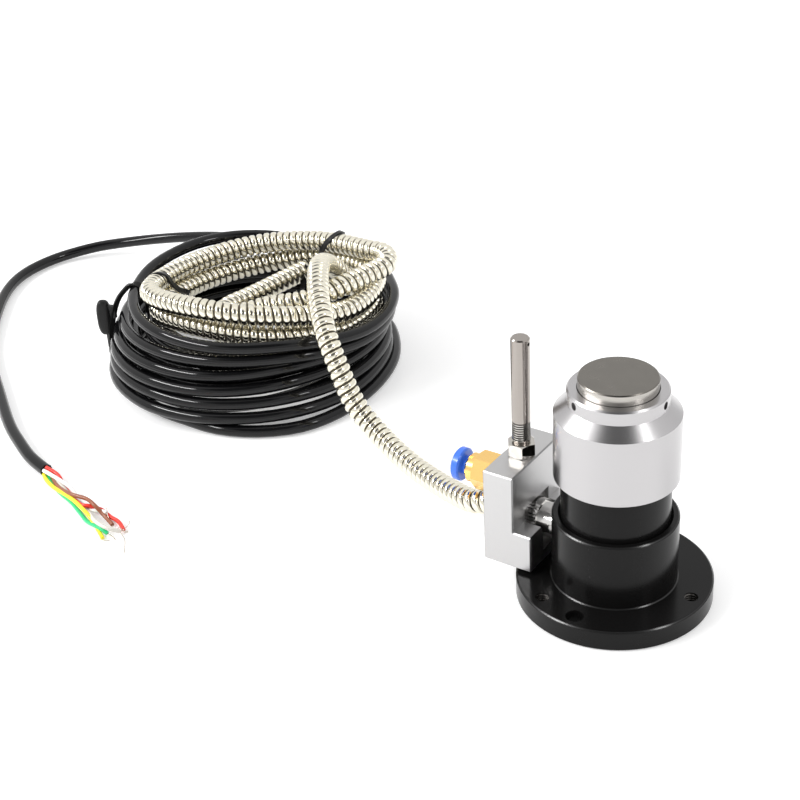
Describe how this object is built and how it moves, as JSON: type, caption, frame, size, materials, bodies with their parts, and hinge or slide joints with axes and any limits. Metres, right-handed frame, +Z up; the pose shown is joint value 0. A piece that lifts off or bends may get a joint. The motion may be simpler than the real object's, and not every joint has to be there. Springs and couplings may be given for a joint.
{
  "type": "tool setter",
  "caption": "Plunger tool setter: flanged black base, silver spring-loaded cap with a hard contact disc, side block with air nozzle and push-in fitting, armoured hose and coiled signal cable",
  "frame": {"origin": "centre of the base's underside, on the plunger axis", "axes": "+Z up along the plunger axis to the contact disc; the side block, air fitting and hose are on the -X side"},
  "size_m": [0.3599, 0.1874, 0.0797],
  "materials": {
    "black_anodised": "black anodised, satin",
    "satin_silver": "turned, clear anodised, satin",
    "hard_metal": "lapped hard metal",
    "steel": "bright turned stainless steel",
    "bronze": "sintered bronze",
    "brass": "turned brass",
    "seal_rubber": "moulded rubber",
    "blue_plastic": "moulded, glossy",
    "black_plastic": "moulded, matt",
    "hose_steel": "bright interlocked steel strip",
    "cable_black": "extruded cable jacket, glossy",
    "core_red": "wire insulation",
    "core_white": "wire insulation",
    "core_yellow": "wire insulation",
    "core_green": "wire insulation",
    "core_brown": "wire insulation",
    "bare_wire": "tinned copper strands"
  },
  "bodies": {
    "housing": {"base": "black_anodised", "sensor_body": "black_anodised", "guide_bush": "bronze", "wiper_seal": "seal_rubber", "neck_oring": "seal_rubber", "bottom_cover": "black_anodised", "cover_screws": "steel", "switch_plate": "satin_silver", "plate_screws": "steel", "measuring_switch": "black_plastic", "overtravel_switch": "black_plastic", "guide_pin": "steel", "return_spring": "steel", "cable_nipple": "steel", "nipple_lock_ring": "steel", "air_block": "satin_silver", "nozzle_tube": "steel", "nozzle_nut": "steel", "fitting_body": "brass", "fitting_oring": "seal_rubber", "grip_ring": "steel", "hose_ferrule": "steel", "inner_cable": "cable_black", "hose_lead": "hose_steel", "hose_coil": "hose_steel", "cable_coil": "cable_black", "cable_tail": "cable_black", "wire_red": "core_red", "wire_white": "core_white", "wire_yellow": "core_yellow", "wire_green": "core_green", "wire_brown": "core_brown", "shield_drain": "bare_wire", "coil_tie": "black_plastic", "hose_tie_back": "black_plastic", "hose_tie_left": "black_plastic"},
    "plunger_set": {"plunger": "steel", "plunger_collar": "steel", "trip_flag": "steel", "cap_sleeve": "satin_silver", "contact_disc": "hard_metal"},
    "release_ring": {"release_collar": "blue_plastic"}
  },
  "joints": [
    {"name": "plunge", "type": "slide", "parent": "housing", "child": "plunger_set", "axis": [0, 0, -1], "range_m": [0, 0.005], "stiffness_N_per_m": 500, "springref_m": -0.006, "deforming": ["return_spring"]},
    {"name": "release_press", "type": "slide", "parent": "housing", "child": "release_ring", "axis": [1, 0, 0], "range_m": [0, 0.0012], "stiffness_N_per_m": 400, "springref_m": -0.002}
  ]
}
